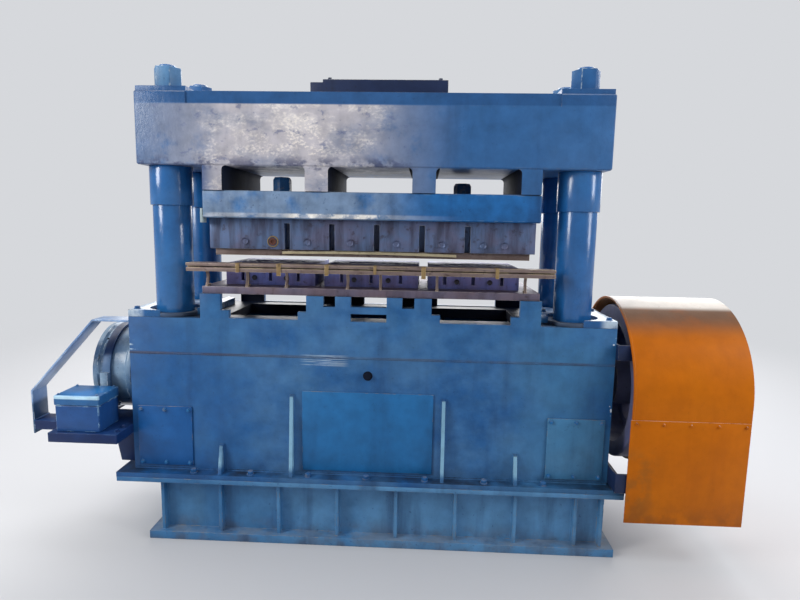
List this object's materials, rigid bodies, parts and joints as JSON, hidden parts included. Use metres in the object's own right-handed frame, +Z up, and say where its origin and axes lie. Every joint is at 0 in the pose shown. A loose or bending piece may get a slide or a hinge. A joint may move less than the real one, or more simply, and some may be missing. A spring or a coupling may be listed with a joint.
{
  "type": "four-column underdrive press",
  "caption": "Wide four-column mechanical press with an eccentric drive in its ribbed base, an upper crosshead over die blocks, and a flywheel under an orange guard.",
  "frame": {"origin": "on the floor, under the middle of the bed", "axes": "+X to the operator's right along the press, +Y to the rear, +Z up"},
  "size_m": [3.338, 1.26, 2.2503],
  "materials": {
    "blue_paint": "worn semi-gloss blue enamel on welded steel",
    "dark_blue_paint": "grimy dark blue enamel",
    "column_paint": "glossy blue enamel on round steel",
    "orange_paint": "semi-gloss orange enamel on sheet steel",
    "die_steel": "oily brown ground steel",
    "rail_steel": "rusty brown steel, rubbed on top",
    "shaft_steel": "ground steel with an oil film",
    "cast_iron": "dark cast iron",
    "bronze": "dull bearing bronze",
    "belt_rubber": "matt black rubber",
    "beige_paint": "pale beige paint"
  },
  "bodies": {
    "base": {"base_frame": "blue_paint", "plinth": "blue_paint", "center_panel": "blue_paint", "left_inspection_cover": "blue_paint", "right_inspection_cover": "blue_paint", "guide_bush_1": "bronze", "guide_bush_2": "bronze", "guide_bush_3": "bronze", "guide_bush_4": "bronze", "left_bed_pad": "blue_paint", "right_bed_pad": "blue_paint", "left_main_bearing": "cast_iron", "right_main_bearing": "cast_iron", "bolster_plate": "die_steel", "left_die": "die_steel", "center_die": "die_steel", "right_die": "die_steel", "feed_rail": "rail_steel", "rail_cap": "rail_steel", "brake_shelf": "blue_paint", "brake_hood": "blue_paint", "brake_band": "dark_blue_paint", "control_box": "blue_paint", "control_box_lid": "blue_paint", "flywheel_guard": "orange_paint", "upper_guard_stay": "blue_paint", "lower_guard_stay": "blue_paint", "motor_shelf": "blue_paint", "motor": "dark_blue_paint", "fan_cowl": "dark_blue_paint", "terminal_box": "dark_blue_paint", "drive_belt": "belt_rubber"},
    "ram": {"crosshead": "blue_paint", "crown_plate": "dark_blue_paint", "lower_beam": "blue_paint", "column_1": "column_paint", "column_2": "column_paint", "column_3": "column_paint", "column_4": "column_paint", "collar_1": "column_paint", "collar_2": "column_paint", "collar_3": "column_paint", "collar_4": "column_paint", "column_nut_1": "blue_paint", "column_nut_2": "blue_paint", "column_nut_3": "blue_paint", "column_nut_4": "blue_paint", "upper_die": "die_steel", "stripper_plate": "rail_steel", "guide_strip": "beige_paint", "lower_yoke": "dark_blue_paint", "left_wrist_pin": "shaft_steel", "right_wrist_pin": "shaft_steel"},
    "crank": {"crankshaft": "shaft_steel", "brake_drum": "blue_paint"},
    "wheel": {"flywheel": "dark_blue_paint"},
    "left_rod": {"left_connecting_rod": "cast_iron"},
    "right_rod": {"right_connecting_rod": "cast_iron"},
    "motor_rotor": {"motor_pulley": "cast_iron"}
  },
  "joints": [
    {"name": "ram_slide", "type": "slide", "parent": "base", "child": "ram", "axis": [0, 0, 1], "range_m": [0, 0.025]},
    {"name": "crank_spin", "type": "hinge", "parent": "base", "child": "crank", "pos_m": [0, 0, 0.775], "axis": [1, 0, 0], "continuous": true},
    {"name": "flywheel_spin", "type": "hinge", "parent": "base", "child": "wheel", "pos_m": [1.3775, 0, 0.775], "axis": [1, 0, 0], "continuous": true},
    {"name": "motor_spin", "type": "hinge", "parent": "base", "child": "motor_rotor", "pos_m": [1.345, 0.6, 0.655], "axis": [1, 0, 0], "continuous": true},
    {"name": "left_rod_swing", "type": "hinge", "parent": "ram", "child": "left_rod", "pos_m": [-0.62, 0, 0.45], "axis": [1, 0, 0], "range_deg": [-2.2, 2.2]},
    {"name": "right_rod_swing", "type": "hinge", "parent": "ram", "child": "right_rod", "pos_m": [0.62, 0, 0.45], "axis": [1, 0, 0], "range_deg": [-2.2, 2.2]}
  ],
  "couplings": [
    {"joint": "motor_spin", "follows": "flywheel_spin", "ratio": 4.2778}
  ]
}
